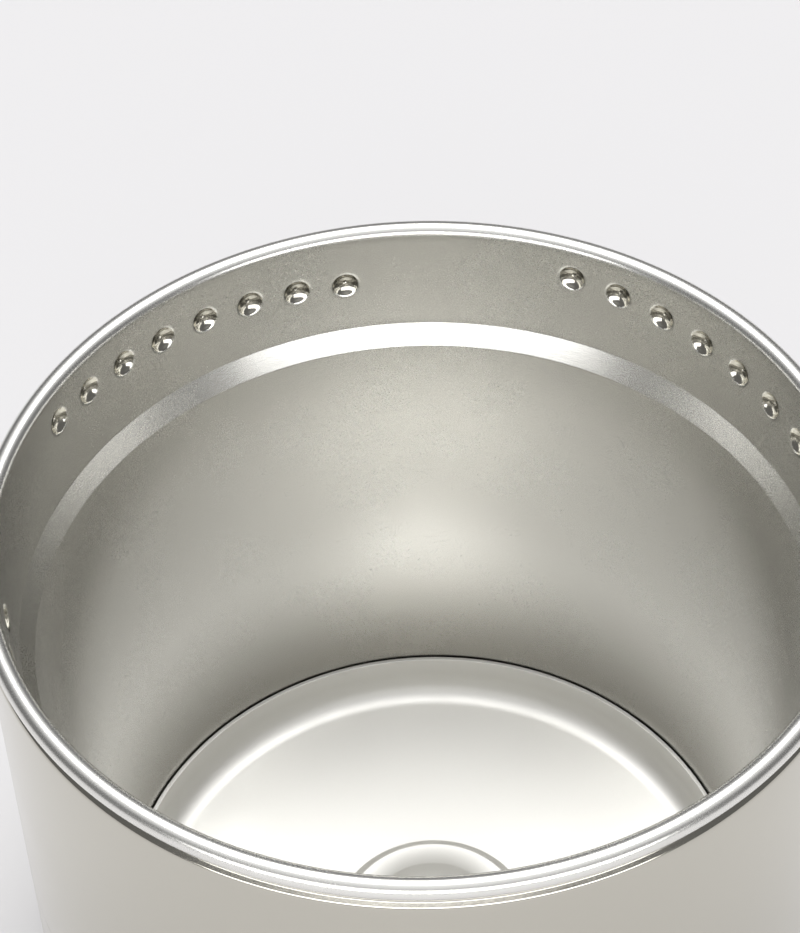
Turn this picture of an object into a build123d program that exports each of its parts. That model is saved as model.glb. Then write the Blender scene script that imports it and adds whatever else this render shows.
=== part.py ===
from build123d import *
import os
from math import acos, atan, cos, radians, sin, tan

# Double-walled alcohol spirit stove: a burner head that stands on a base cup.
#
# The base cup holds the spirit. The burner head is a tapered liner inside an
# outer jacket. The liner's curled rim grips the jacket's top, and the jacket
# slides down over a neck in the base cup. The head lifts off for filling. Two
# wicks stand in the chamber between the walls, and the vapour leaves it through
# the jets in the liner's band. The pan in the middle takes the priming spirit.
#
# Frame: origin at the centre of the foot, on the table, +Z up. Millimetres.

# Driving dimensions: steel sheet

SHEET = 0.4  # liner, jacket, base cup and spacer
PAN_SHEET = 0.5
NECK_SHEET = 0.5

# Rim and outer wall

RIM_RADIUS = 40.0  # centre line of the rim's curl
RIM_HEIGHT = 66.5  # centre of the curl above the table
CURL_RADIUS = 1.0  # outside of the curl's round section
CURL_TAIL_ANGLE = -60  # where the curl ends, below its outer side
JACKET_INSET = 0.2  # jacket inside the curl's outer side
JACKET_SHOULDER_DROP = 1.9  # jacket starts to draw in, below the curl's centre
JACKET_LIP = 0.2  # jacket's drawn-in edge above the curl's centre
SEAM_HEIGHT = 27.6  # jacket meets the base cup
SEAM_CHAMFER = 0.12

# Liner

BAND_DEPTH = 10.8  # curl's centre down to the ledge
BAND_DRAFT_ANGLE = 5.3  # band off upright, narrower below
LEDGE_RUN = 1.2  # sloped ledge draws in
LEDGE_DROP = 2.3  # and goes down
LEDGE_CORNER_RADIUS = 0.4  # hollow corner between band and ledge
LEDGE_NOSE_RADIUS = 0.4  # edge between ledge and tapered wall
COLLAR_HEIGHT = 9.5  # top of the liner's straight collar, above the table
COLLAR_BEND_RADIUS = 6.0
COLLAR_LIFT = 1.6  # liner's lower edge above the table

# Jets: slanted rows of dimples, each with a fine hole

JET_ROWS = 4
JETS_PER_ROW = 8
JET_ROW_PITCH_ANGLE = 87.3
JET_PITCH_ANGLE = 7.53
JET_START_ANGLE = 14.0  # lowest jet of the first row, from +X
JET_ROW_LOW = 5.25  # lowest jet, below the curl's centre
JET_ROW_HIGH = 2.9  # highest jet, below the curl's centre
DIMPLE_RADIUS = 1.35  # at the band's face
DIMPLE_DEPTH = 0.65
JET_RADIUS = 0.15

# Base cup

FOOT_CORNER_RADIUS = 2.5
PLATEAU_HEIGHT = 2.6  # upper face of the raised middle, above the table
PLATEAU_INSET = 4.7  # plateau's edge inside the pan's wall
PLATEAU_SLOPE_RUN = 3.2  # plateau's edge out to the trough's floor
PLATEAU_BEND_RADIUS = 0.8

# Priming pan, standing on the plateau

PAN_WALL_RADIUS = 32.7  # outside
PAN_CLEARANCE = 0.1  # pan inside the liner's collar
PAN_HEIGHT = 5.4
PAN_CORNER_RADIUS = 3.2
BOSS_RADIUS = 10.5  # foot of the boss's step
BOSS_STEP = 0.9
BOSS_STEP_RUN = 0.9
BOSS_STEP_RADIUS = 0.3
DOME_RADIUS = 7.0
DOME_RISE = 2.1  # above the boss's flat ring

# Neck and its seal

NECK_HEIGHT = 8.4  # above the seam
NECK_SOCKET = 6.0  # below the seam, welded in the base cup
NECK_CLEARANCE = 0.04  # neck inside the jacket
NECK_STEP_DROP = 0.5  # neck draws in to that clearance this far below the seam
SEAL_SEAT_DEPTH = 0.7
SEAL_SEAT_DROP = 2.6  # seat below the neck's top
SEAL_WIDTH = 1.6
SEAL_CLEARANCE = 0.04  # round the seal, in its seat and in the jacket

# Wicks

SLEEVE_TOP = 37.0
SLEEVE_BOTTOM = 11.0
SLEEVE_THICKNESS = 1.8
HOOP_WIRE_RADIUS = 0.4
HOOP_INSET = 4.0  # hoops in from the sleeve's ends
RING_WICK_DROP = 1.1  # wick's top below the neck
RING_WICK_THICKNESS = 2.6
RING_WICK_CLEARANCE = 0.15  # off the base cup's wall

# Spacer between liner and jacket

SPACER_HEIGHT = 39.5
SPACER_FLANGE = 2.2
SPACER_HOLES = 12
SPACER_HOLE_RADIUS = 0.9

# Sizes that follow

band_draft = radians(BAND_DRAFT_ANGLE)
band_top_radius = RIM_RADIUS - CURL_RADIUS * cos(band_draft)
band_top = RIM_HEIGHT + CURL_RADIUS * sin(band_draft)
ledge_height = RIM_HEIGHT - BAND_DEPTH
ledge_radius = band_top_radius - (band_top - ledge_height) * tan(band_draft)
wall_top = ledge_height - LEDGE_DROP
wall_top_radius = ledge_radius - LEDGE_RUN
collar_radius = PAN_WALL_RADIUS + PAN_CLEARANCE
wall_slope = (wall_top_radius - collar_radius) / (wall_top - COLLAR_HEIGHT)
wall_stretch = 1 / cos(atan(wall_slope))  # a thickness square to the wall, taken level
jacket_radius = RIM_RADIUS + CURL_RADIUS - JACKET_INSET
jacket_bore = jacket_radius - SHEET
neck_radius = jacket_bore - NECK_CLEARANCE
neck_top = SEAM_HEIGHT + NECK_HEIGHT
seat_top = neck_top - SEAL_SEAT_DROP
seat_bottom = seat_top - SEAL_WIDTH
seat_radius = neck_radius - SEAL_SEAT_DEPTH
plateau_radius = PAN_WALL_RADIUS - PLATEAU_INSET
curl_centre = (RIM_RADIUS, RIM_HEIGHT)
curl_sweep_angle = 180 - BAND_DRAFT_ANGLE - CURL_TAIL_ANGLE


def wall_radius(height, thickness):
    """Radius of a face that lies a thickness outside the liner's tapered wall."""
    inner_face = collar_radius + wall_slope * (height - COLLAR_HEIGHT)
    return inner_face + thickness * wall_stretch


def polar_point(radius, angle, height):
    """Point at a radius and an azimuth in degrees."""
    return (radius * cos(radians(angle)), radius * sin(radians(angle)), height)


def band_point(azimuth, height, depth):
    """Point at a depth behind the band's face, square to it."""
    face_radius = band_top_radius - (band_top - height) * tan(band_draft)
    radius = face_radius + depth * cos(band_draft)
    return polar_point(radius, azimuth, height - depth * sin(band_draft))


def jet_places():
    """Azimuth and height of every jet. Each row climbs as its azimuth grows."""
    climb = (JET_ROW_LOW - JET_ROW_HIGH) / (JETS_PER_ROW - 1)
    places = []
    for row in range(JET_ROWS):
        for jet in range(JETS_PER_ROW):
            azimuth = JET_START_ANGLE + row * JET_ROW_PITCH_ANGLE + jet * JET_PITCH_ANGLE
            places.append((azimuth, RIM_HEIGHT - JET_ROW_LOW + jet * climb))
    return places


def ball_cap(ball, start):
    """Cap of a ball from a level above its centre, with a spline face that cuts a cone cleanly."""
    edge = acos(start / ball)
    arc = [(ball * sin(edge * part), ball * cos(edge * part)) for part in (1, 2 / 3, 1 / 3, 0)]
    with BuildPart(mode=Mode.PRIVATE) as cap:
        with BuildSketch(Plane.XZ):
            with BuildLine():
                Spline(*arc, tangents=((-cos(edge), sin(edge)), (-1, 0)))
                Polyline(arc[-1], (0, start), arc[0])
            make_face()
        revolve(axis=Axis.Z)
    return cap.part


def finish(piece, name):
    """Name a finished piece and write it."""
    piece.label = name
    export_step(piece, f"parts/{name}.step")


os.makedirs("parts", exist_ok=True)

# Burner liner: curl, band with jets, ledge, tapered wall and straight collar

dimple_sphere = (DIMPLE_RADIUS**2 + DIMPLE_DEPTH**2) / (2 * DIMPLE_DEPTH)
dimple_centre = DIMPLE_DEPTH - dimple_sphere  # depth of the ball's centre, before the face
bump_sphere = dimple_sphere + SHEET
bump = ball_cap(bump_sphere, SHEET / 2 - dimple_centre)  # starts in the middle of the sheet
dimple = ball_cap(dimple_sphere, -dimple_centre / 2)  # starts in front of the band's face
dimples = [
    Plane(
        band_point(azimuth, height, dimple_centre),
        x_dir=polar_point(sin(band_draft), azimuth, cos(band_draft)),
        z_dir=polar_point(cos(band_draft), azimuth, -sin(band_draft)),
    )
    for azimuth, height in jet_places()
]

with BuildPart() as burner_liner:
    with BuildSketch(Plane.XZ):
        with BuildLine():
            CenterArc(curl_centre, CURL_RADIUS, CURL_TAIL_ANGLE, curl_sweep_angle)
            FilletPolyline(
                (band_top_radius, band_top),
                (ledge_radius, ledge_height),
                (wall_top_radius, wall_top),
                (collar_radius, COLLAR_HEIGHT),
                (collar_radius, COLLAR_LIFT),
                radius=(LEDGE_CORNER_RADIUS, LEDGE_NOSE_RADIUS, COLLAR_BEND_RADIUS),
            )
            offset(amount=SHEET, side=Side.LEFT)
        make_face()
    revolve(axis=Axis.Z)
    with Locations(*dimples):
        add(bump)
    with Locations(*dimples):
        add(dimple, mode=Mode.SUBTRACT)
        Cylinder(JET_RADIUS, 2 * (bump_sphere + SHEET), mode=Mode.SUBTRACT)
finish(burner_liner.part, "burner_liner")

# Outer jacket: straight tube whose top edge draws in and ends inside the curl

lip_radius = RIM_RADIUS + (CURL_RADIUS - SHEET) * cos(radians(CURL_TAIL_ANGLE))
shoulder_height = RIM_HEIGHT - JACKET_SHOULDER_DROP

with BuildPart() as outer_jacket:
    with BuildSketch(Plane.XZ):
        with BuildLine():
            Polyline(
                (jacket_radius, SEAM_HEIGHT),
                (jacket_radius, shoulder_height),
                (lip_radius, shoulder_height + jacket_radius - lip_radius),
                (lip_radius, RIM_HEIGHT + JACKET_LIP),
            )
            offset(amount=SHEET, side=Side.LEFT)
        make_face()
    revolve(axis=Axis.Z)
    seam_edges = outer_jacket.edges().filter_by(GeomType.CIRCLE).group_by(Axis.Z)[0]
    chamfer(seam_edges.sort_by(SortBy.RADIUS)[-1], SEAM_CHAMFER)
finish(outer_jacket.part, "outer_jacket")

# Spacer ring: holds the liner's wall in the middle of the jacket

spacer_top = SPACER_HEIGHT + SHEET
spacer_bore = wall_radius(spacer_top, SHEET)

with BuildPart() as spacer_ring:
    with BuildSketch(Plane.XY.offset(SPACER_HEIGHT)):
        Circle(jacket_bore)
        Circle(spacer_bore, mode=Mode.SUBTRACT)
        with PolarLocations((jacket_bore + spacer_bore) / 2, SPACER_HOLES):
            Circle(SPACER_HOLE_RADIUS, mode=Mode.SUBTRACT)
    extrude(amount=SHEET)
    with BuildSketch(Plane.XY.offset(spacer_top)):
        Circle(jacket_bore)
        Circle(jacket_bore - SHEET, mode=Mode.SUBTRACT)
    extrude(amount=SPACER_FLANGE - SHEET)
finish(spacer_ring.part, "spacer_ring")

# Wick sleeve: felt wrapped round the liner's tapered wall

sleeve_outer = SHEET + SLEEVE_THICKNESS

with BuildPart() as wick_sleeve:
    with BuildSketch(Plane.XZ):
        with BuildLine():
            Polyline(
                (wall_radius(SLEEVE_BOTTOM, SHEET), SLEEVE_BOTTOM),
                (wall_radius(SLEEVE_BOTTOM, sleeve_outer), SLEEVE_BOTTOM),
                (wall_radius(SLEEVE_TOP, sleeve_outer), SLEEVE_TOP),
                (wall_radius(SLEEVE_TOP, SHEET), SLEEVE_TOP),
                close=True,
            )
        make_face()
    revolve(axis=Axis.Z)
finish(wick_sleeve.part, "wick_sleeve")

# Wick hoops: wire rings that hold the sleeve on the liner

hoop_heights = {
    "upper_wick_hoop": SLEEVE_TOP - HOOP_INSET,
    "lower_wick_hoop": SLEEVE_BOTTOM + HOOP_INSET,
}

for hoop_name, hoop_height in hoop_heights.items():
    with BuildPart() as wick_hoop:
        with Locations((0, 0, hoop_height)):
            Torus(wall_radius(hoop_height, sleeve_outer + HOOP_WIRE_RADIUS), HOOP_WIRE_RADIUS)
    finish(wick_hoop.part, hoop_name)

# Base cup: wall, foot, trough and raised middle

with BuildPart() as base_cup:
    with BuildSketch(Plane.XZ):
        with BuildLine():
            FilletPolyline(
                (0, PLATEAU_HEIGHT),
                (plateau_radius, PLATEAU_HEIGHT),
                (plateau_radius + PLATEAU_SLOPE_RUN, SHEET),
                (jacket_bore, SHEET),
                (jacket_bore, SEAM_HEIGHT),
                radius=(PLATEAU_BEND_RADIUS, PLATEAU_BEND_RADIUS, FOOT_CORNER_RADIUS - SHEET),
            )
            offset(amount=SHEET, side=Side.RIGHT)
        make_face()
    revolve(axis=Axis.Z)
    seam_edges = base_cup.edges().filter_by(GeomType.CIRCLE).group_by(Axis.Z)[-1]
    chamfer(seam_edges.sort_by(SortBy.RADIUS)[-1], SEAM_CHAMFER)
finish(base_cup.part, "base_cup")

# Neck ring: welded in the base cup, with a rolled seat for the seal

with BuildPart() as neck_ring:
    with BuildSketch(Plane.XZ):
        with BuildLine():
            Polyline(
                (jacket_bore, SEAM_HEIGHT - NECK_SOCKET),
                (jacket_bore, SEAM_HEIGHT - NECK_STEP_DROP),
                (neck_radius, SEAM_HEIGHT - NECK_STEP_DROP),
                (neck_radius, seat_bottom),
                (seat_radius, seat_bottom),
                (seat_radius, seat_top),
                (neck_radius, seat_top),
                (neck_radius, neck_top),
                (neck_radius - NECK_SHEET, neck_top),
                (neck_radius - NECK_SHEET, seat_top + NECK_SHEET),
                (seat_radius - NECK_SHEET, seat_top + NECK_SHEET),
                (seat_radius - NECK_SHEET, seat_bottom - NECK_SHEET),
                (neck_radius - NECK_SHEET, seat_bottom - NECK_SHEET),
                (neck_radius - NECK_SHEET, SEAM_HEIGHT - NECK_SOCKET),
                close=True,
            )
        make_face()
    revolve(axis=Axis.Z)
finish(neck_ring.part, "neck_ring")

# Neck seal: keeps the vapour in where the head meets the neck

with BuildPart() as neck_seal:
    with BuildSketch(Plane.XY.offset(seat_bottom + SEAL_CLEARANCE)):
        Circle(jacket_bore - SEAL_CLEARANCE)
        Circle(seat_radius + SEAL_CLEARANCE, mode=Mode.SUBTRACT)
    extrude(amount=SEAL_WIDTH - 2 * SEAL_CLEARANCE)
finish(neck_seal.part, "neck_seal")

# Priming pan: shallow dish with a domed boss, spot welded on the plateau

pan_floor = PLATEAU_HEIGHT + PAN_SHEET
pan_bore = PAN_WALL_RADIUS - PAN_SHEET
pan_rim = PLATEAU_HEIGHT + PAN_HEIGHT
boss_top = pan_floor + BOSS_STEP
dome_sphere = (DOME_RADIUS**2 + DOME_RISE**2) / (2 * DOME_RISE)
dome_point = (DOME_RADIUS, boss_top)

with BuildPart() as priming_pan:
    with BuildSketch(Plane.XZ):
        with BuildLine():
            RadiusArc((0, boss_top + DOME_RISE), dome_point, dome_sphere)
            FilletPolyline(
                dome_point,
                (BOSS_RADIUS - BOSS_STEP_RUN, boss_top),
                (BOSS_RADIUS, pan_floor),
                (pan_bore, pan_floor),
                (pan_bore, pan_rim),
                radius=(2 * BOSS_STEP_RADIUS, BOSS_STEP_RADIUS, PAN_CORNER_RADIUS - PAN_SHEET),
            )
            offset(amount=PAN_SHEET, side=Side.RIGHT)
        make_face()
    revolve(axis=Axis.Z)
finish(priming_pan.part, "priming_pan")

# Ring wick: felt ring that stands in the base cup's trough

ring_wick_radius = jacket_bore - RING_WICK_CLEARANCE
ring_wick_top = SEAM_HEIGHT - NECK_SOCKET - RING_WICK_DROP

with BuildPart() as ring_wick:
    with BuildSketch(Plane.XY.offset(SHEET)):
        Circle(ring_wick_radius)
        Circle(ring_wick_radius - RING_WICK_THICKNESS, mode=Mode.SUBTRACT)
    extrude(amount=ring_wick_top - SHEET)
    foot_edges = ring_wick.edges().filter_by(GeomType.CIRCLE).group_by(Axis.Z)[0]
    fillet(foot_edges.sort_by(SortBy.RADIUS)[-1], FOOT_CORNER_RADIUS - SHEET)
finish(ring_wick.part, "ring_wick")
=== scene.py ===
from math import atan2, cos, hypot, pi, radians, sin, sqrt, tan

import bmesh
import bpy
from bpy.props import FloatProperty, FloatVectorProperty, IntProperty, PointerProperty, StringProperty
from mathutils import Matrix, Vector


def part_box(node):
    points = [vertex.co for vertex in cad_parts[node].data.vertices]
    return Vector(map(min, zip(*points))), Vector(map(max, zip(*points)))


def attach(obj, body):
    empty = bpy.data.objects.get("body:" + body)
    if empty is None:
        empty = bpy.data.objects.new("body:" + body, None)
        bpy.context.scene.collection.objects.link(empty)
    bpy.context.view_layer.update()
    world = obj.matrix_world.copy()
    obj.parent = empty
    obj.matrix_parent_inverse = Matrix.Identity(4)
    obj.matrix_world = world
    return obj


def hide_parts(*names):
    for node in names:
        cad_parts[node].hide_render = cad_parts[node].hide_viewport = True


bl_info = {
    "name": "Spirit stove looks",
    "version": (1, 0, 0),
    "blender": (4, 5, 0),
    "location": "3D View > Sidebar > Stove",
    "description": "Builds the finished surfaces of a double-walled spirit stove around its frame",
    "category": "Object",
}

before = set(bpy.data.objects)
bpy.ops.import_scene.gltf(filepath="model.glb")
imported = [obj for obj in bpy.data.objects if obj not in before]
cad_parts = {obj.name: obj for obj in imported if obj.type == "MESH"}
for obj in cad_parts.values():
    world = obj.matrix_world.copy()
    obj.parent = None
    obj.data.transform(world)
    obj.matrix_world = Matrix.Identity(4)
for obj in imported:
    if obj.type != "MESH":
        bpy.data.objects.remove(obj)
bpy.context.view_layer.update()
MM = 0.001
SUPPORT = 0.5 * MM  # row of faces beside an edge, which keeps a flat wall's shading flat
SAME_PLACE = 0.0005 * MM  # vertices closer than this are one
FADE = 0.5 * MM  # beyond a dimple's edge, where its mark runs out
BAND_ROWS = 16  # rows of faces down the band
CURL_STEPS = 28  # faces round the rim's curl
DOME_STEPS = 20  # faces up the pan's dome
WIRE_STEPS = 16  # faces round a hoop's wire
SHARP = radians(35)  # a fold sharper than this stays a crease
CLOUD_MM = 9.0  # size of the slow change in a metal's sheen
RING_STRETCH = 2.5  # how much the turned rings vary on their way round
FLOOR_HALF = 3  # metres from the middle of the floor to its edge

# Places read from the frame, in metres
LINER_LOW, LINER_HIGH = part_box("burner_liner")
JACKET_LOW, JACKET_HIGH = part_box("outer_jacket")
BASE_LOW, BASE_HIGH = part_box("base_cup")
PAN_LOW, PAN_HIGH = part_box("priming_pan")
NECK_LOW, NECK_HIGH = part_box("neck_ring")
SEAL_LOW, SEAL_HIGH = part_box("neck_seal")
SLEEVE_LOW, SLEEVE_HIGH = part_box("wick_sleeve")
RING_LOW, RING_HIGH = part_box("ring_wick")
UPPER_HOOP_LOW, UPPER_HOOP_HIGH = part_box("upper_wick_hoop")
LOWER_HOOP_LOW, LOWER_HOOP_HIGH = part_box("lower_wick_hoop")


# Sizes and colours that a user would change


class SheetSizes(bpy.types.PropertyGroup):
    """Sheet thicknesses and how finely turned pieces are made."""

    shell: FloatProperty(
        name="Shell sheet", description="Steel of the liner, jacket and base cup",
        default=0.4 * MM, unit="LENGTH", subtype="DISTANCE",
    )
    pan: FloatProperty(
        name="Pan sheet", description="Steel of the priming pan and the neck",
        default=0.5 * MM, unit="LENGTH", subtype="DISTANCE",
    )
    steps: IntProperty(
        name="Steps", description="Faces round a turned piece", default=384, min=96,
    )
    edge: FloatProperty(
        name="Edge break", description="Rounding of a cut sheet edge",
        default=0.08 * MM, unit="LENGTH", subtype="DISTANCE",
    )


class LinerSizes(bpy.types.PropertyGroup):
    """Shape of the burner liner."""

    curl: FloatProperty(
        name="Curl radius", description="Outside of the rim's round section",
        default=1.0 * MM, unit="LENGTH", subtype="DISTANCE",
    )
    curl_sweep: FloatProperty(
        name="Curl sweep", description="How far the rim curls over, from the band",
        default=radians(240), unit="ROTATION", subtype="ANGLE",
    )
    band_depth: FloatProperty(
        name="Band depth", description="Curl's centre down to the ledge",
        default=10.8 * MM, unit="LENGTH", subtype="DISTANCE",
    )
    band_draft: FloatProperty(
        name="Band draft", description="Band off upright, narrower below",
        default=radians(5.3), unit="ROTATION", subtype="ANGLE",
    )
    ledge_run: FloatProperty(
        name="Ledge run", description="How far the sloped ledge draws in",
        default=1.2 * MM, unit="LENGTH", subtype="DISTANCE",
    )
    ledge_drop: FloatProperty(
        name="Ledge drop", description="How far the sloped ledge goes down",
        default=2.3 * MM, unit="LENGTH", subtype="DISTANCE",
    )
    ledge_corner: FloatProperty(
        name="Ledge corner", description="Radius of the hollow corner under the band",
        default=0.4 * MM, unit="LENGTH", subtype="DISTANCE",
    )
    ledge_nose: FloatProperty(
        name="Ledge nose", description="Radius of the edge between ledge and wall",
        default=0.4 * MM, unit="LENGTH", subtype="DISTANCE",
    )
    collar_height: FloatProperty(
        name="Collar height", description="Top of the straight collar above the table",
        default=9.5 * MM, unit="LENGTH", subtype="DISTANCE",
    )
    collar_bend: FloatProperty(
        name="Collar bend", description="Radius where the wall turns straight",
        default=6.0 * MM, unit="LENGTH", subtype="DISTANCE",
    )
    collar_gap: FloatProperty(
        name="Collar gap", description="Play of the pan inside the collar",
        default=0.1 * MM, unit="LENGTH", subtype="DISTANCE",
    )


class JetSizes(bpy.types.PropertyGroup):
    """Dimples and jets of the band."""

    rows: IntProperty(name="Rows", description="Slanted rows of jets", default=4)
    per_row: IntProperty(name="Jets in a row", description="Jets in one row", default=8)
    row_pitch: FloatProperty(
        name="Row pitch", description="Angle from one row to the next",
        default=radians(87.3), unit="ROTATION", subtype="ANGLE",
    )
    pitch: FloatProperty(
        name="Jet pitch", description="Angle from one jet to the next",
        default=radians(7.53), unit="ROTATION", subtype="ANGLE",
    )
    start: FloatProperty(
        name="First jet", description="Azimuth of the lowest jet of the first row",
        default=radians(14), unit="ROTATION", subtype="ANGLE",
    )
    low: FloatProperty(
        name="Lowest jet", description="Below the curl's centre",
        default=5.25 * MM, unit="LENGTH", subtype="DISTANCE",
    )
    high: FloatProperty(
        name="Highest jet", description="Below the curl's centre",
        default=2.9 * MM, unit="LENGTH", subtype="DISTANCE",
    )
    radius: FloatProperty(
        name="Dimple radius", description="At the band's face",
        default=1.35 * MM, unit="LENGTH", subtype="DISTANCE",
    )
    depth: FloatProperty(
        name="Dimple depth", description="Pressed into the band",
        default=0.65 * MM, unit="LENGTH", subtype="DISTANCE",
    )
    lip: FloatProperty(
        name="Dimple lip", description="How softly the dimple's edge turns over",
        default=0.10 * MM, unit="LENGTH", subtype="DISTANCE",
    )
    hole: FloatProperty(
        name="Jet radius", description="Fine hole in the bottom of a dimple",
        default=0.15 * MM, unit="LENGTH", subtype="DISTANCE",
    )


class StoveColours(bpy.types.PropertyGroup):
    """Colours of the finishes and of a painted shade, as sRGB hex values."""

    satin: StringProperty(name="Satin steel", description="Drawn and brushed stainless", default="#E6E5E1")
    # Painted shade: the liner's satin colour darkens to this towards the foot, standing in for the shade
    # down there
    drawn: StringProperty(name="Drawn steel", description="Satin steel near the foot", default="#9E9C95")
    polished: StringProperty(name="Polished steel", description="Buffed stainless", default="#C4C1B7")
    mill: StringProperty(name="Mill steel", description="Unfinished stainless", default="#B9B7B2")
    felt: StringProperty(name="Carbon felt", description="Wick felt", default="#26272A")
    fibre: StringProperty(name="Felt fibre", description="Paler fibres of the felt", default="#4A4B4E")
    seal: StringProperty(name="Silicone", description="Neck seal", default="#8F3A28")
    floor: StringProperty(name="Floor", description="Studio sweep", default="#CAC9CA")
    surround: StringProperty(name="Surround", description="Light all round", default="#F5F5F6")


class StudioSettings(bpy.types.PropertyGroup):
    """Camera and lights."""

    eye: FloatVectorProperty(
        name="Eye", description="Camera's place, from the centre of the rim",
        default=(1.42 * MM, -171.47 * MM, 188.67 * MM), unit="LENGTH", subtype="XYZ",
    )
    elevation: FloatProperty(
        name="Elevation", description="How far the camera looks down",
        default=radians(46.54), unit="ROTATION", subtype="ANGLE",
    )
    heading: FloatProperty(
        name="Heading", description="Camera's heading, clockwise from +Y",
        default=radians(-1.11), unit="ROTATION", subtype="ANGLE",
    )
    roll: FloatProperty(
        name="Roll", description="Camera's roll", default=radians(-1.95), unit="ROTATION", subtype="ANGLE",
    )
    lens: FloatProperty(name="Lens", description="Focal length in millimetres", default=108.0)
    world: FloatProperty(name="World", description="Light from overhead surroundings", default=1.0)
    horizon: FloatProperty(name="Horizon", description="Light from level surroundings", default=0.2)
    softbox: FloatProperty(
        name="Softbox", description="Power of the overhead softbox", default=7.7, unit="POWER",
    )
    card: FloatProperty(
        name="Front card", description="Power of the low card in front", default=6.0, unit="POWER",
    )


# Shape of the liner's visible face


def band_face(sizes, height):
    """Radius of the band's face at a height."""
    rim_radius = LINER_HIGH.x - sizes.curl
    rim_height = LINER_HIGH.z - sizes.curl
    top_radius = rim_radius - sizes.curl * cos(sizes.band_draft)
    top_height = rim_height + sizes.curl * sin(sizes.band_draft)
    return top_radius - (top_height - height) * tan(sizes.band_draft)


def liner_corners(sizes):
    """(radius, height) of the ledge's upper edge, its lower edge and the collar's top."""
    ledge_height = LINER_HIGH.z - sizes.curl - sizes.band_depth
    ledge_radius = band_face(sizes, ledge_height)
    wall = (ledge_radius - sizes.ledge_run, ledge_height - sizes.ledge_drop)
    return (ledge_radius, ledge_height), wall, (PAN_HIGH.x + sizes.collar_gap, sizes.collar_height)


# Meshes


def new_piece(bm, name, materials):
    """Turns a bmesh into a finished object with smooth faces and sharp folds."""
    for face in bm.faces:
        face.smooth = True
    for edge in bm.edges:
        edge.smooth = len(edge.link_faces) != 2 or edge.calc_face_angle(0) < SHARP
    mesh = bpy.data.meshes.new(name)
    bm.to_mesh(mesh)
    bm.free()
    piece = bpy.data.objects.new(name, mesh)
    bpy.context.scene.collection.objects.link(piece)
    for material in materials:
        mesh.materials.append(material)
    return piece


def outline(bm, points, close=False, segments=8):
    """Draws an outline of (radius, height, corner radius) points in the XZ plane."""
    verts = [bm.verts.new((radius, 0, height)) for radius, height, _ in points]
    pairs = list(zip(verts, verts[1:]))
    if close:
        pairs.append((verts[-1], verts[0]))
    for first, second in pairs:
        bm.edges.new((first, second))
    for vert, (_, _, corner) in zip(verts, points):
        if not corner:
            continue
        arms = [(edge.other_vert(vert).co - vert.co) for edge in vert.link_edges]
        turn = pi - arms[0].angle(arms[1])
        bmesh.ops.bevel(
            bm, geom=[vert], offset=corner * tan(turn / 2), segments=segments,
            profile=0.5, affect="VERTICES", material=-1,
        )


def turn_outline(bm, steps, inwards):
    """Spins the outline about the stove's axis. The widest face of a shell looks inwards or not."""
    bmesh.ops.spin(
        bm, geom=bm.verts[:] + bm.edges[:], cent=(0, 0, 0), axis=(0, 0, 1),
        angle=2 * pi, steps=steps, use_merge=True, use_duplicate=False,
    )
    bmesh.ops.remove_doubles(bm, verts=bm.verts, dist=SAME_PLACE)
    bmesh.ops.recalc_face_normals(bm, faces=bm.faces)
    if inwards is None:
        return
    widest = max(bm.faces, key=lambda face: face.calc_center_median().xy.length)
    outwards = widest.normal.xy.dot(widest.calc_center_median().xy) > 0
    if outwards == inwards:
        bmesh.ops.reverse_faces(bm, faces=bm.faces)


def give_thickness(piece, thickness):
    """Adds the sheet's thickness behind the modelled face."""
    solid = piece.modifiers.new("Sheet", "SOLIDIFY")
    solid.thickness = thickness
    solid.offset = -1
    solid.use_even_offset = True


def break_edges(piece, width):
    """Rounds the cut edges of the sheet."""
    bevel = piece.modifiers.new("Edge break", "BEVEL")
    bevel.width = width
    bevel.segments = 2
    bevel.limit_method = "ANGLE"
    bevel.angle_limit = radians(60)
    bevel.harden_normals = True


def dimple_depth(distance, jets):
    """How deep a dimple is at a distance from its centre: a ball's mark with a soft lip."""
    ball = (jets.radius**2 + jets.depth**2) / (2 * jets.depth)
    slope = jets.radius / sqrt(ball**2 - jets.radius**2)
    if distance < jets.radius:
        height = sqrt(ball**2 - distance**2) - (ball - jets.depth)
    else:
        height = (jets.radius - distance) * slope
    soft = (height + sqrt(height**2 + jets.lip**2)) / 2
    fade = min(max((distance - jets.radius) / FADE, 0), 1)
    return soft * (1 - fade * fade * (3 - 2 * fade))


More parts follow.
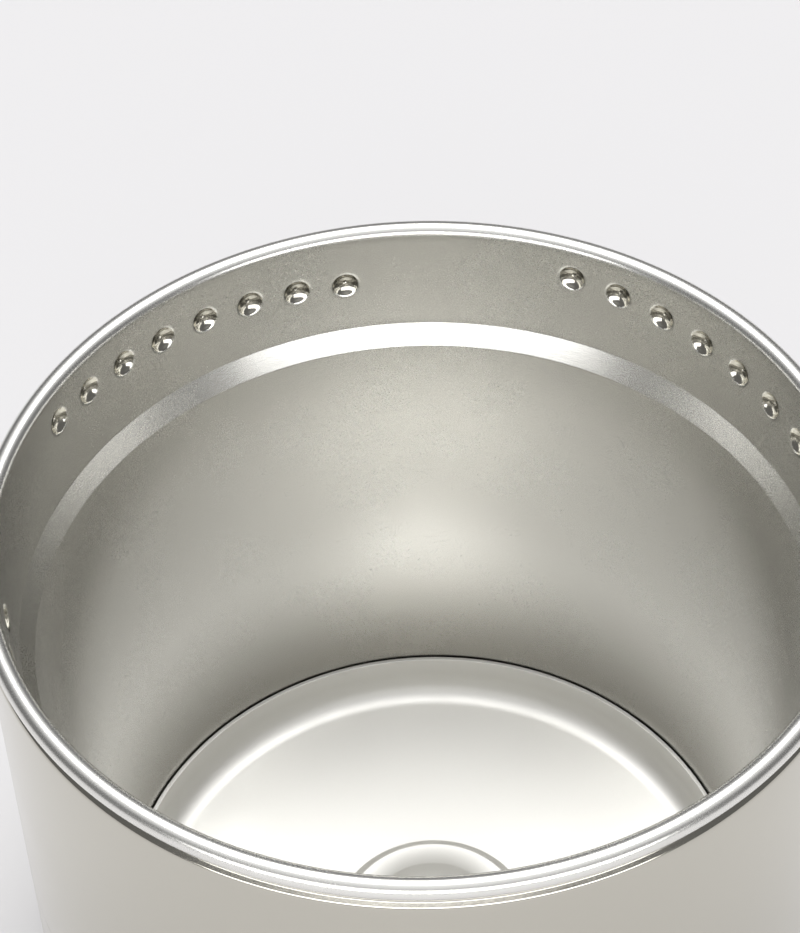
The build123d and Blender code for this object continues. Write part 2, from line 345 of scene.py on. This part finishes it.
def press_dimple(bm, azimuth, height, sizes, jets):
    """Presses one dimple into the band and pierces its jet."""
    reach = jets.radius + FADE
    moved = reach + 0.7 * MM  # takes in the new vertices just outside the divided faces
    behind = jets.depth + 0.2 * MM  # keeps the curl's tail, behind the band, out of it
    band_radius = band_face(sizes, height)

    def place(co):
        along = (atan2(co.y, co.x) - azimuth + pi) % (2 * pi) - pi
        return along * band_radius, co.z - height

    def near(co, limit):
        if abs(co.z - height) > limit or hypot(*place(co)) > limit:
            return False
        return hypot(co.x, co.y) < band_face(sizes, co.z) + behind

    on_band = [face for face in bm.faces if near(face.calc_center_median(), reach)]
    edges = {edge for face in on_band for edge in face.edges}
    bmesh.ops.subdivide_edges(bm, edges=list(edges), cuts=4, use_grid_fill=True)
    for vert in bm.verts:
        if not near(vert.co, moved):
            continue
        along, up = place(vert.co)
        radius = band_face(sizes, vert.co.z) + dimple_depth(hypot(along, up), jets)
        angle = azimuth + along / band_radius
        vert.co = (radius * cos(angle), radius * sin(angle), vert.co.z)
    inside = [face for face in bm.faces if near(face.calc_center_median(), jets.radius)]
    pierced = [face for face in inside if near(face.calc_center_median(), jets.hole)]
    for face in inside:
        face.material_index = 1
    bmesh.ops.delete(bm, geom=pierced, context="FACES")
    for vert in bm.verts:
        if not vert.is_boundary or not near(vert.co, 3 * jets.hole):
            continue
        along, up = place(vert.co)
        scale = jets.hole / hypot(along, up)
        radius = hypot(vert.co.x, vert.co.y)
        angle = azimuth + along * scale / band_radius
        vert.co = (radius * cos(angle), radius * sin(angle), height + up * scale)


def jet_places(jets, rim_height):
    """Azimuth and height of every jet."""
    climb = (jets.low - jets.high) / (jets.per_row - 1)
    for row in range(jets.rows):
        for jet in range(jets.per_row):
            azimuth = jets.start + row * jets.row_pitch + jet * jets.pitch
            yield azimuth, rim_height - jets.low + jet * climb


# Materials


def linear(hex_colour):
    """Linear RGBA from an sRGB hex value."""
    values = [int(hex_colour[i : i + 2], 16) / 255 for i in (1, 3, 5)]
    return (*[v / 12.92 if v <= 0.04045 else ((v + 0.055) / 1.055) ** 2.4 for v in values], 1)


def add_node(tree, kind, settings=None, **links):
    """Adds a node. Settings are attributes; links give sockets a value or another node's socket."""
    node = tree.nodes.new(kind)
    for attribute, value in (settings or {}).items():
        setattr(node, attribute, value)
    for label, value in links.items():
        key = int(label[1:]) if label[0] == "i" and label[1:].isdigit() else label.replace("_", " ")
        if isinstance(value, bpy.types.NodeSocket):
            tree.links.new(value, node.inputs[key])
        else:
            node.inputs[key].default_value = value
    return node


def new_material(name):
    """Empty node material: its tree, shader and Object coordinates in millimetres."""
    material = bpy.data.materials.new(name)
    material.use_nodes = True
    tree = material.node_tree
    shader = tree.nodes["Principled BSDF"]
    place = add_node(tree, "ShaderNodeTexCoord")
    scaled = add_node(
        tree, "ShaderNodeVectorMath", {"operation": "SCALE"}, i0=place.outputs["Object"], Scale=1 / MM
    )
    return material, tree, shader, scaled.outputs[0]


def around_axis(tree, place, along_scale):
    """Coordinates that run round the axis, so that a pattern drawn on them forms rings."""
    apart = add_node(tree, "ShaderNodeSeparateXYZ", i0=place)
    across = add_node(tree, "ShaderNodeCombineXYZ", X=apart.outputs["X"], Y=apart.outputs["Y"])
    radius = add_node(tree, "ShaderNodeVectorMath", {"operation": "LENGTH"}, i0=across.outputs[0])
    turned = add_node(tree, "ShaderNodeVectorMath", {"operation": "NORMALIZE"}, i0=across.outputs[0])
    spread = add_node(
        tree, "ShaderNodeVectorMath", {"operation": "SCALE"}, i0=turned.outputs[0], Scale=along_scale
    )
    parts = add_node(tree, "ShaderNodeSeparateXYZ", i0=spread.outputs[0])
    level = add_node(
        tree, "ShaderNodeMath", {"operation": "ADD"}, i0=radius.outputs["Value"], i1=apart.outputs["Z"]
    )
    return add_node(
        tree, "ShaderNodeCombineXYZ", X=parts.outputs["X"], Y=parts.outputs["Y"], Z=level.outputs[0]
    ).outputs[0]


def metal(name, colour, roughness, spread, grain_mm, grain_height, ring_mm, ring_height):
    """Metal with a blasted grain and turned rings. Roughness varies by spread with the grain."""
    material, tree, shader, place = new_material(name)
    shader.inputs["Base Color"].default_value = linear(colour)
    shader.inputs["Metallic"].default_value = 1
    grain = add_node(tree, "ShaderNodeTexNoise", Vector=place, Scale=1 / grain_mm, Detail=2.0)
    cloud = add_node(tree, "ShaderNodeTexNoise", Vector=place, Scale=1 / CLOUD_MM, Detail=3.0)
    turned = around_axis(tree, place, RING_STRETCH)
    rings = add_node(tree, "ShaderNodeTexNoise", Vector=turned, Scale=1 / ring_mm, Detail=2.0)
    mixed = add_node(
        tree, "ShaderNodeMath", {"operation": "ADD"}, i0=cloud.outputs["Fac"], i1=grain.outputs["Fac"]
    )
    rough = add_node(
        tree, "ShaderNodeMapRange", Value=mixed.outputs[0], From_Min=0.6, From_Max=1.4,
        To_Min=roughness - spread, To_Max=roughness + spread,
    )
    tree.links.new(rough.outputs[0], shader.inputs["Roughness"])
    ring_bump = add_node(
        tree, "ShaderNodeBump", Strength=1.0, Distance=ring_height * MM, Height=rings.outputs["Fac"]
    )
    bump = add_node(
        tree, "ShaderNodeBump", Strength=1.0, Distance=grain_height * MM,
        Height=grain.outputs["Fac"], Normal=ring_bump.outputs[0],
    )
    tree.links.new(bump.outputs[0], shader.inputs["Normal"])
    return material


def satin_steel(colours):
    """Stainless, drawn and satin brushed: a soft stretched shine, with painted shade that darkens its
    colour towards the foot.
    """
    material = metal(
        "satin_stainless_painted_foot_shade", colours.satin, roughness=0.27, spread=0.015,
        grain_mm=0.12, grain_height=0.0010, ring_mm=0.30, ring_height=0.0022,
    )
    tree = material.node_tree
    place = add_node(tree, "ShaderNodeTexCoord")
    apart = add_node(tree, "ShaderNodeSeparateXYZ", i0=place.outputs["Object"])
    # Painted shade: the colour goes from the satin colour at 27 mm down to the darker foot colour at 8 mm
    height = add_node(
        tree, "ShaderNodeMapRange", {"interpolation_type": "SMOOTHSTEP"}, Value=apart.outputs["Z"],
        From_Min=8 * MM, From_Max=27 * MM,
    )
    tint = add_node(
        tree, "ShaderNodeMix", {"data_type": "RGBA"}, i0=height.outputs[0],
        i6=linear(colours.drawn), i7=linear(colours.satin),
    )
    tree.links.new(tint.outputs[2], tree.nodes["Principled BSDF"].inputs["Base Color"])
    return material


def blasted_steel(colours):
    """Stainless, bead blasted: a dry white bloom that catches light from overhead."""
    return metal(
        "blasted_stainless_matt", colours.satin, roughness=0.52, spread=0.04,
        grain_mm=0.16, grain_height=0.004, ring_mm=0.5, ring_height=0.0005,
    )


def burnished_steel(colours):
    """Stainless burnished by the dimple punch: a small mirror in the satin."""
    return metal(
        "burnished_stainless_punched", colours.polished, roughness=0.13, spread=0.03,
        grain_mm=0.2, grain_height=0.001, ring_mm=0.5, ring_height=0.0002,
    )


def polished_steel(colours):
    """Stainless, buffed outside: near mirror, drawn out faintly round the wall."""
    return metal(
        "polished_stainless_buffed", colours.polished, roughness=0.14, spread=0.03,
        grain_mm=0.25, grain_height=0.0006, ring_mm=0.3, ring_height=0.0006,
    )


def mill_steel(colours):
    """Stainless as rolled: dull shine with ring marks from forming."""
    return metal(
        "mill_stainless_rolled", colours.mill, roughness=0.34, spread=0.05,
        grain_mm=0.3, grain_height=0.002, ring_mm=0.4, ring_height=0.004,
    )


def carbon_felt(colours):
    """Needled carbon felt: black, dry and fuzzy with short fibres."""
    material, tree, shader, place = new_material("carbon_felt_needled")
    fibre = add_node(tree, "ShaderNodeTexNoise", Vector=place, Scale=1 / 0.35, Detail=6.0, Distortion=1.5)
    tint = add_node(
        tree, "ShaderNodeMix", {"data_type": "RGBA"}, i0=fibre.outputs["Fac"],
        i6=linear(colours.felt), i7=linear(colours.fibre),
    )
    tree.links.new(tint.outputs[2], shader.inputs["Base Color"])
    bump = add_node(tree, "ShaderNodeBump", Strength=1.0, Distance=0.15 * MM, Height=fibre.outputs["Fac"])
    tree.links.new(bump.outputs[0], shader.inputs["Normal"])
    shader.inputs["Roughness"].default_value = 0.95
    shader.inputs["Sheen Weight"].default_value = 0.3
    return material


def silicone(colours):
    """Moulded silicone rubber: waxy, with a faint matt skin."""
    material, tree, shader, place = new_material("silicone_moulded")
    skin = add_node(tree, "ShaderNodeTexNoise", Vector=place, Scale=1 / 0.2, Detail=2.0)
    rough = add_node(tree, "ShaderNodeMapRange", Value=skin.outputs["Fac"], To_Min=0.45, To_Max=0.65)
    tree.links.new(rough.outputs[0], shader.inputs["Roughness"])
    bump = add_node(tree, "ShaderNodeBump", Strength=1.0, Distance=0.004 * MM, Height=skin.outputs["Fac"])
    tree.links.new(bump.outputs[0], shader.inputs["Normal"])
    shader.inputs["Base Color"].default_value = linear(colours.seal)
    return material


def finish_of(maker):
    """The material that a maker function gives, made once."""
    made = bpy.context.scene.get("stove_finishes", {})
    name = made.get(maker.__name__)
    if name and name in bpy.data.materials:
        return bpy.data.materials[name]
    material = maker(bpy.context.scene.stove_colours)
    finishes = dict(made)
    finishes[maker.__name__] = material.name
    bpy.context.scene["stove_finishes"] = finishes
    return material


def hand_over(piece, node, body):
    """The piece stands for its frame node and moves with that body."""
    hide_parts(node)
    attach(piece, body)


def add_area_light(name, power, size, place, tilt):
    """Adds a rectangular light, in metres, that shines down before it is tilted about X."""
    light = bpy.data.lights.new(name, "AREA")
    light.shape = "RECTANGLE"
    light.size, light.size_y = size
    light.energy = power
    lamp = bpy.data.objects.new(name, light)
    lamp.matrix_world = Matrix.Translation(place) @ Matrix.Rotation(tilt, 4, "X")
    bpy.context.scene.collection.objects.link(lamp)


# Operators


class STOVE_OT_liner(bpy.types.Operator):
    """Builds the burner liner: curl, band with jets, ledge, tapered wall and collar"""

    bl_idname = "stove.liner"
    bl_label = "Burner liner"

    def execute(self, context):
        scene = context.scene
        sheet, sizes, jets = scene.stove_sheet, scene.stove_liner, scene.stove_jets
        rim_radius = LINER_HIGH.x - sizes.curl
        rim_height = LINER_HIGH.z - sizes.curl
        ledge, wall, collar = liner_corners(sizes)
        band_top = rim_height + sizes.curl * sin(sizes.band_draft)
        row_height = (band_top - ledge[1] - sizes.ledge_corner) / BAND_ROWS
        heights = [band_top - row * row_height for row in range(BAND_ROWS)]
        bm = bmesh.new()
        outline(
            bm,
            [(band_face(sizes, height), height, 0) for height in heights] + [
                (*ledge, sizes.ledge_corner),
                (*wall, sizes.ledge_nose),
                (*collar, sizes.collar_bend),
                (collar[0], LINER_LOW.z, 0),
            ],
        )
        bm.verts.ensure_lookup_table()
        top = max(bm.verts, key=lambda vert: vert.co.z)
        bmesh.ops.spin(
            bm, geom=[top], cent=(rim_radius, 0, rim_height), axis=(0, 1, 0),
            angle=sizes.curl_sweep - sizes.band_draft, steps=CURL_STEPS, use_duplicate=False,
        )
        turn_outline(bm, sheet.steps, False)
        for azimuth, height in jet_places(jets, rim_height):
            press_dimple(bm, azimuth, height, sizes, jets)
        finishes = [finish_of(satin_steel), finish_of(burnished_steel)]
        piece = new_piece(bm, "liner_shell", finishes)
        give_thickness(piece, sheet.shell)
        hand_over(piece, "burner_liner", "head")
        return {"FINISHED"}


class STOVE_OT_jacket(bpy.types.Operator):
    """Builds the outer jacket, drawn in at the top where the curl grips it"""

    bl_idname = "stove.jacket"
    bl_label = "Outer jacket"

    shoulder_drop: FloatProperty(
        name="Shoulder drop", description="Curl's centre down to the jacket's shoulder",
        default=1.9 * MM, unit="LENGTH", subtype="DISTANCE",
    )

    def execute(self, context):
        sheet, sizes = context.scene.stove_sheet, context.scene.stove_liner
        rim_height = LINER_HIGH.z - sizes.curl
        inner_curl = sizes.curl - sheet.shell
        lip = LINER_HIGH.x - sizes.curl - inner_curl * cos(sizes.curl_sweep)
        shoulder = rim_height - self.shoulder_drop
        bm = bmesh.new()
        outline(
            bm,
            [
                (JACKET_HIGH.x, JACKET_LOW.z, 0),
                (JACKET_HIGH.x, JACKET_LOW.z + SUPPORT, 0),
                (JACKET_HIGH.x, shoulder - 2 * SUPPORT, 0),
                (JACKET_HIGH.x, shoulder, 0.5 * MM),
                (lip, shoulder + JACKET_HIGH.x - lip, 0.3 * MM),
                (lip, JACKET_HIGH.z, 0),
            ],
        )
        turn_outline(bm, sheet.steps, False)
        piece = new_piece(bm, "jacket_shell", [finish_of(polished_steel)])
        give_thickness(piece, sheet.shell)
        break_edges(piece, sheet.edge)
        hand_over(piece, "outer_jacket", "head")
        return {"FINISHED"}


class STOVE_OT_base(bpy.types.Operator):
    """Builds the base cup: wall, foot, trough and raised middle"""

    bl_idname = "stove.base"
    bl_label = "Base cup"

    plateau_radius: FloatProperty(
        name="Plateau radius", description="Raised middle of the base",
        default=28 * MM, unit="LENGTH", subtype="DISTANCE",
    )
    slope_run: FloatProperty(
        name="Slope run", description="From the plateau out to the trough",
        default=3.2 * MM, unit="LENGTH", subtype="DISTANCE",
    )
    plateau_bend: FloatProperty(
        name="Plateau bend", description="Radius of the plateau's bends",
        default=0.8 * MM, unit="LENGTH", subtype="DISTANCE",
    )
    foot_corner: FloatProperty(
        name="Foot corner", description="Outside radius between wall and foot",
        default=2.5 * MM, unit="LENGTH", subtype="DISTANCE",
    )

    def execute(self, context):
        sheet = context.scene.stove_sheet
        bore = BASE_HIGH.x - sheet.shell
        floor = BASE_LOW.z + sheet.shell
        bm = bmesh.new()
        outline(
            bm,
            [
                (0, PAN_LOW.z, 0),
                (self.plateau_radius, PAN_LOW.z, self.plateau_bend),
                (self.plateau_radius + self.slope_run, floor, self.plateau_bend),
                (bore, floor, self.foot_corner - sheet.shell),
                (bore, floor + 2 * self.foot_corner, 0),
                (bore, BASE_HIGH.z - SUPPORT, 0),
                (bore, BASE_HIGH.z, 0),
            ],
        )
        turn_outline(bm, sheet.steps, True)
        piece = new_piece(bm, "base_shell", [finish_of(polished_steel)])
        give_thickness(piece, sheet.shell)
        break_edges(piece, sheet.edge)
        hand_over(piece, "base_cup", "base")
        return {"FINISHED"}


class STOVE_OT_pan(bpy.types.Operator):
    """Builds the priming pan with its domed boss"""

    bl_idname = "stove.pan"
    bl_label = "Priming pan"

    corner: FloatProperty(
        name="Corner", description="Outside radius between the pan's wall and floor",
        default=3.2 * MM, unit="LENGTH", subtype="DISTANCE",
    )
    boss_radius: FloatProperty(
        name="Boss radius", description="Foot of the raised boss",
        default=10.5 * MM, unit="LENGTH", subtype="DISTANCE",
    )
    boss_step: FloatProperty(
        name="Boss step", description="Height and run of the boss's step",
        default=0.9 * MM, unit="LENGTH", subtype="DISTANCE",
    )
    step_bend: FloatProperty(
        name="Step bend", description="Radius at the foot of the step, twice that at its top",
        default=0.3 * MM, unit="LENGTH", subtype="DISTANCE",
    )
    dome_radius: FloatProperty(
        name="Dome radius", description="Edge of the dome on the boss",
        default=7 * MM, unit="LENGTH", subtype="DISTANCE",
    )
    dome_rise: FloatProperty(
        name="Dome rise", description="Height of the dome above the boss",
        default=2.1 * MM, unit="LENGTH", subtype="DISTANCE",
    )

    def execute(self, context):
        sheet = context.scene.stove_sheet
        floor = PAN_LOW.z + sheet.pan
        bore = PAN_HIGH.x - sheet.pan
        ring = floor + self.boss_step
        ball = (self.dome_radius**2 + self.dome_rise**2) / (2 * self.dome_rise)
        bm = bmesh.new()
        outline(
            bm,
            [
                (self.dome_radius, ring, 0),
                (self.boss_radius - self.boss_step, ring, 2 * self.step_bend),
                (self.boss_radius, floor, self.step_bend),
                (bore, floor, self.corner - sheet.pan),
                (bore, PAN_HIGH.z, 0),
            ],
        )
        start = min(bm.verts, key=lambda vert: vert.co.x)
        sweep = atan2(self.dome_radius, ball - self.dome_rise)
        bmesh.ops.spin(
            bm, geom=[start], cent=(0, 0, ring + self.dome_rise - ball), axis=(0, 1, 0),
            angle=-sweep, steps=DOME_STEPS, use_duplicate=False,
        )
        turn_outline(bm, sheet.steps, True)
        piece = new_piece(bm, "pan_shell", [finish_of(blasted_steel)])
        give_thickness(piece, sheet.pan)
        break_edges(piece, sheet.edge)
        hand_over(piece, "priming_pan", "base")
        return {"FINISHED"}


class STOVE_OT_neck(bpy.types.Operator):
    """Builds the neck ring and the seal in its seat"""

    bl_idname = "stove.neck"
    bl_label = "Neck and seal"

    seat_depth: FloatProperty(
        name="Seat depth", description="How far the seal's seat is set into the neck",
        default=0.7 * MM, unit="LENGTH", subtype="DISTANCE",
    )
    clearance: FloatProperty(
        name="Clearance", description="Play of the neck in the jacket and of the seal in its seat",
        default=0.04 * MM, unit="LENGTH", subtype="DISTANCE",
    )
    step_drop: FloatProperty(
        name="Step drop", description="Base cup's edge down to the neck's step",
        default=0.5 * MM, unit="LENGTH", subtype="DISTANCE",
    )

    def execute(self, context):
        sheet = context.scene.stove_sheet
        neck = NECK_HIGH.x - self.clearance
        seat = neck - self.seat_depth
        step = BASE_HIGH.z - self.step_drop
        seat_low = SEAL_LOW.z - self.clearance
        seat_high = SEAL_HIGH.z + self.clearance
        bm = bmesh.new()
        outline(
            bm,
            [
                (NECK_HIGH.x, NECK_LOW.z, 0),
                (NECK_HIGH.x, step, 0),
                (neck, step, 0),
                (neck, seat_low, 0),
                (seat, seat_low, 0),
                (seat, seat_high, 0),
                (neck, seat_high, 0),
                (neck, NECK_HIGH.z, 0),
            ],
        )
        turn_outline(bm, sheet.steps, False)
        ring = new_piece(bm, "neck_shell", [finish_of(mill_steel)])
        give_thickness(ring, sheet.pan)
        break_edges(ring, sheet.edge)
        hand_over(ring, "neck_ring", "base")

        bm = bmesh.new()
        inner = seat + self.clearance
        corner = 0.2 * MM
        outline(
            bm,
            [
                (inner, SEAL_LOW.z, corner),
                (SEAL_HIGH.x, SEAL_LOW.z, corner),
                (SEAL_HIGH.x, SEAL_HIGH.z, corner),
                (inner, SEAL_HIGH.z, corner),
            ],
            close=True,
            segments=4,
        )
        turn_outline(bm, sheet.steps, None)
        seal = new_piece(bm, "seal_ring", [finish_of(silicone)])
        hand_over(seal, "neck_seal", "seal")
        return {"FINISHED"}


class STOVE_OT_wicks(bpy.types.Operator):
    """Builds the two felt wicks and the wire hoops that hold the sleeve"""

    bl_idname = "stove.wicks"
    bl_label = "Wicks and hoops"

    wire: FloatProperty(
        name="Hoop wire radius", description="Half the wire's thickness",
        default=0.4 * MM, unit="LENGTH", subtype="DISTANCE",
    )
    sleeve: FloatProperty(
        name="Sleeve thickness", description="Felt on the liner",
        default=1.8 * MM, unit="LENGTH", subtype="DISTANCE",
    )
    ring: FloatProperty(
        name="Ring thickness", description="Felt in the base",
        default=2.6 * MM, unit="LENGTH", subtype="DISTANCE",
    )
    soft: FloatProperty(
        name="Soft edge", description="Rounding of a cut felt edge",
        default=0.4 * MM, unit="LENGTH", subtype="DISTANCE",
    )
    foot_corner: FloatProperty(
        name="Foot corner", description="Radius that clears the base's corner",
        default=2.1 * MM, unit="LENGTH", subtype="DISTANCE",
    )

    def execute(self, context):
        scene = context.scene
        sheet, sizes = scene.stove_sheet, scene.stove_liner
        steps = sheet.steps // 2
        felt = finish_of(carbon_felt)
        _, top, foot = liner_corners(sizes)
        slope = (top[0] - foot[0]) / (top[1] - foot[1])
        stretch = sqrt(1 + slope**2)

        def wall(height, thickness):
            return foot[0] + slope * (height - foot[1]) + thickness * stretch

        outer = sheet.shell + self.sleeve
        bm = bmesh.new()
        outline(
            bm,
            [
                (wall(SLEEVE_LOW.z, sheet.shell), SLEEVE_LOW.z, 0),
                (wall(SLEEVE_LOW.z, outer), SLEEVE_LOW.z, self.soft),
                (wall(SLEEVE_HIGH.z, outer), SLEEVE_HIGH.z, self.soft),
                (wall(SLEEVE_HIGH.z, sheet.shell), SLEEVE_HIGH.z, 0),
            ],
            close=True,
            segments=4,
        )
        turn_outline(bm, steps, None)
        hand_over(new_piece(bm, "sleeve_felt", [felt]), "wick_sleeve", "head")

        bm = bmesh.new()
        bore = RING_HIGH.x - self.ring
        outline(
            bm,
            [
                (bore, RING_LOW.z, 0),
                (RING_HIGH.x, RING_LOW.z, self.foot_corner),
                (RING_HIGH.x, RING_HIGH.z, self.soft),
                (bore, RING_HIGH.z, self.soft),
            ],
            close=True,
            segments=6,
        )
        turn_outline(bm, steps, None)
        hand_over(new_piece(bm, "ring_felt", [felt]), "ring_wick", "base")

        hoops = (
            ("upper_wick_hoop", UPPER_HOOP_LOW, UPPER_HOOP_HIGH),
            ("lower_wick_hoop", LOWER_HOOP_LOW, LOWER_HOOP_HIGH),
        )
        for node, low, high in hoops:
            bm = bmesh.new()
            radius = high.x - self.wire
            start = bm.verts.new((high.x, 0, (low.z + high.z) / 2))
            bmesh.ops.spin(
                bm, geom=[start], cent=(radius, 0, start.co.z), axis=(0, 1, 0),
                angle=2 * pi, steps=WIRE_STEPS, use_merge=True, use_duplicate=False,
            )
            turn_outline(bm, steps, None)
            hand_over(new_piece(bm, node + "_wire", [finish_of(mill_steel)]), node, "head")
        return {"FINISHED"}


class STOVE_OT_spacer(bpy.types.Operator):
    """Gives the spacer ring, which keeps its own mesh, its finish"""

    bl_idname = "stove.spacer"
    bl_label = "Spacer finish"

    def execute(self, context):
        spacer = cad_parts["spacer_ring"]
        spacer.data.materials.clear()
        spacer.data.materials.append(finish_of(mill_steel))
        return {"FINISHED"}


class STOVE_OT_studio(bpy.types.Operator):
    """Builds the pale floor, the soft light and the camera"""

    bl_idname = "stove.studio"
    bl_label = "Studio"

    def execute(self, context):
        scene = context.scene
        settings = scene.stove_studio
        colours = scene.stove_colours
        rim = Vector((0, 0, LINER_HIGH.z - scene.stove_liner.curl))

        bm = bmesh.new()
        bmesh.ops.create_grid(bm, x_segments=1, y_segments=1, size=FLOOR_HALF)
        material, _, shader, _ = new_material("studio_sweep")
        shader.inputs["Base Color"].default_value = linear(colours.floor)
        shader.inputs["Roughness"].default_value = 0.7
        floor = new_piece(bm, "studio_floor", [material])

        world = bpy.data.worlds.new("studio_surround")
        scene.world = world
        world.use_nodes = True
        sky = world.node_tree
        backdrop = sky.nodes["Background"]
        direction = add_node(sky, "ShaderNodeTexCoord")
        apart = add_node(sky, "ShaderNodeSeparateXYZ", i0=direction.outputs["Generated"])
        glow = add_node(
            sky, "ShaderNodeMapRange", {"interpolation_type": "SMOOTHSTEP"}, Value=apart.outputs["Z"],
            From_Min=0.45, From_Max=0.95, To_Min=settings.horizon, To_Max=settings.world,
        )
        backdrop.inputs["Color"].default_value = linear(colours.surround)
        sky.links.new(glow.outputs[0], backdrop.inputs["Strength"])

        add_area_light(
            "softbox", power=settings.softbox, size=(0.7, 0.5), place=(0, 0.25, 0.9), tilt=radians(-14)
        )
        add_area_light(
            "front_card", power=settings.card, size=(1.6, 0.3), place=(0, -0.75, 0.3), tilt=radians(70)
        )

        look = Vector(
            (
                sin(settings.heading) * cos(settings.elevation),
                cos(settings.heading) * cos(settings.elevation),
                -sin(settings.elevation),
            )
        )
        right = look.cross(Vector((0, 0, 1))).normalized()
        up = right.cross(look)
        level, tilt = cos(settings.roll), sin(settings.roll)
        axes = Matrix((right * level + up * tilt, up * level - right * tilt, -look)).transposed()
        camera = bpy.data.cameras.new("camera")
        camera.lens = settings.lens
        camera.sensor_width = 36
        camera.clip_start = 0.01
        eye = rim + Vector(settings.eye)
        stand = bpy.data.objects.new("camera", camera)
        stand.matrix_world = Matrix.Translation(eye) @ axes.to_4x4()
        scene.collection.objects.link(stand)
        scene.camera = stand
        scene.view_settings.view_transform = "Standard"
        return {"FINISHED"}


class STOVE_PT_panel(bpy.types.Panel):
    """Lists the stove's pieces"""

    bl_idname = "STOVE_PT_panel"
    bl_label = "Spirit stove"
    bl_space_type = "VIEW_3D"
    bl_region_type = "UI"
    bl_category = "Stove"

    def draw(self, context):
        for operator in OPERATORS:
            self.layout.operator(operator.bl_idname)


GROUPS = {
    "stove_sheet": SheetSizes,
    "stove_liner": LinerSizes,
    "stove_jets": JetSizes,
    "stove_colours": StoveColours,
    "stove_studio": StudioSettings,
}
OPERATORS = (
    STOVE_OT_liner,
    STOVE_OT_jacket,
    STOVE_OT_base,
    STOVE_OT_pan,
    STOVE_OT_neck,
    STOVE_OT_wicks,
    STOVE_OT_spacer,
    STOVE_OT_studio,
)


def register():
    for name, group in GROUPS.items():
        bpy.utils.register_class(group)
        setattr(bpy.types.Scene, name, PointerProperty(type=group))
    for operator in OPERATORS:
        bpy.utils.register_class(operator)
    bpy.utils.register_class(STOVE_PT_panel)


def unregister():
    bpy.utils.unregister_class(STOVE_PT_panel)
    for operator in reversed(OPERATORS):
        bpy.utils.unregister_class(operator)
    for name, group in GROUPS.items():
        delattr(bpy.types.Scene, name)
        bpy.utils.unregister_class(group)


def main():
    """Registers the add-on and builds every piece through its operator."""
    register()
    bpy.ops.stove.liner()
    bpy.ops.stove.jacket()
    bpy.ops.stove.base()
    bpy.ops.stove.pan()
    bpy.ops.stove.neck()
    bpy.ops.stove.wicks()
    bpy.ops.stove.spacer()
    bpy.ops.stove.studio()


if __name__ == "__main__":
    main()
